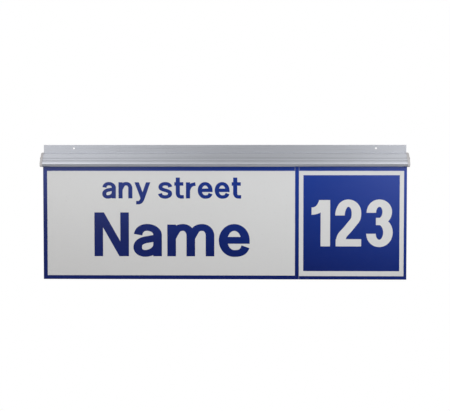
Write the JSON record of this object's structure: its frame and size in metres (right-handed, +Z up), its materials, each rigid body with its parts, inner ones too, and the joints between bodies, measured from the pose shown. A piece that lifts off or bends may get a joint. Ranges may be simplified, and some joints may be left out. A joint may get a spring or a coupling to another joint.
{
  "type": "street name sign",
  "caption": "Lit street name sign: extruded hood with a flange for wall screws, a name plate and a square number plate hanging under it, lamp boards inside the hood.",
  "frame": {"origin": "on the wall plane, midway between the two wall screw holes in the flange", "axes": "+X along the sign, +Z up, +Y into the wall; the sign's front faces -Y"},
  "size_m": [1.011, 0.0404, 0.3706],
  "materials": {
    "anodised_hood": "satin anodised, fine lines along the extrusion",
    "cap_plastic": "fine moulded grain",
    "gasket_rubber": "matt",
    "screw_steel": "plain zinc",
    "plate_sheet": "mill finish sheet",
    "white_film": "satin reflective film",
    "blue_film": "satin film",
    "board_mask": "white solder mask",
    "led_body": "cast resin",
    "clear_cover": "clear polycarbonate with fine ribs",
    "driver_case": "potted case",
    "terminal_plastic": "moulded",
    "terminal_brass": "turned",
    "lead_jacket": "smooth jacket"
  },
  "bodies": {
    "root": {"hood_profile": "anodised_hood", "end_cap_left": "cap_plastic", "end_cap_right": "cap_plastic", "gasket_left": "gasket_rubber", "gasket_right": "gasket_rubber", "cap_screws_left": "screw_steel", "cap_screws_right": "screw_steel", "name_plate": "plate_sheet", "number_plate": "plate_sheet", "name_white_film": "white_film", "name_blue_border": "blue_film", "number_white_film": "white_film", "number_blue_border": "blue_film", "number_blue_field": "blue_film", "led_board_left": "board_mask", "led_board_right": "board_mask", "leds_left": "led_body", "leds_right": "led_body", "lamp_cover": "clear_cover", "led_driver": "driver_case", "terminal_block": "terminal_plastic", "terminal_screws": "terminal_brass", "cable_grommet": "gasket_rubber", "supply_leads": "lead_jacket", "board_lead_left": "lead_jacket", "board_lead_right": "lead_jacket", "plate_set_screws": "screw_steel", "wall_pads": "gasket_rubber"}
  },
  "joints": []
}
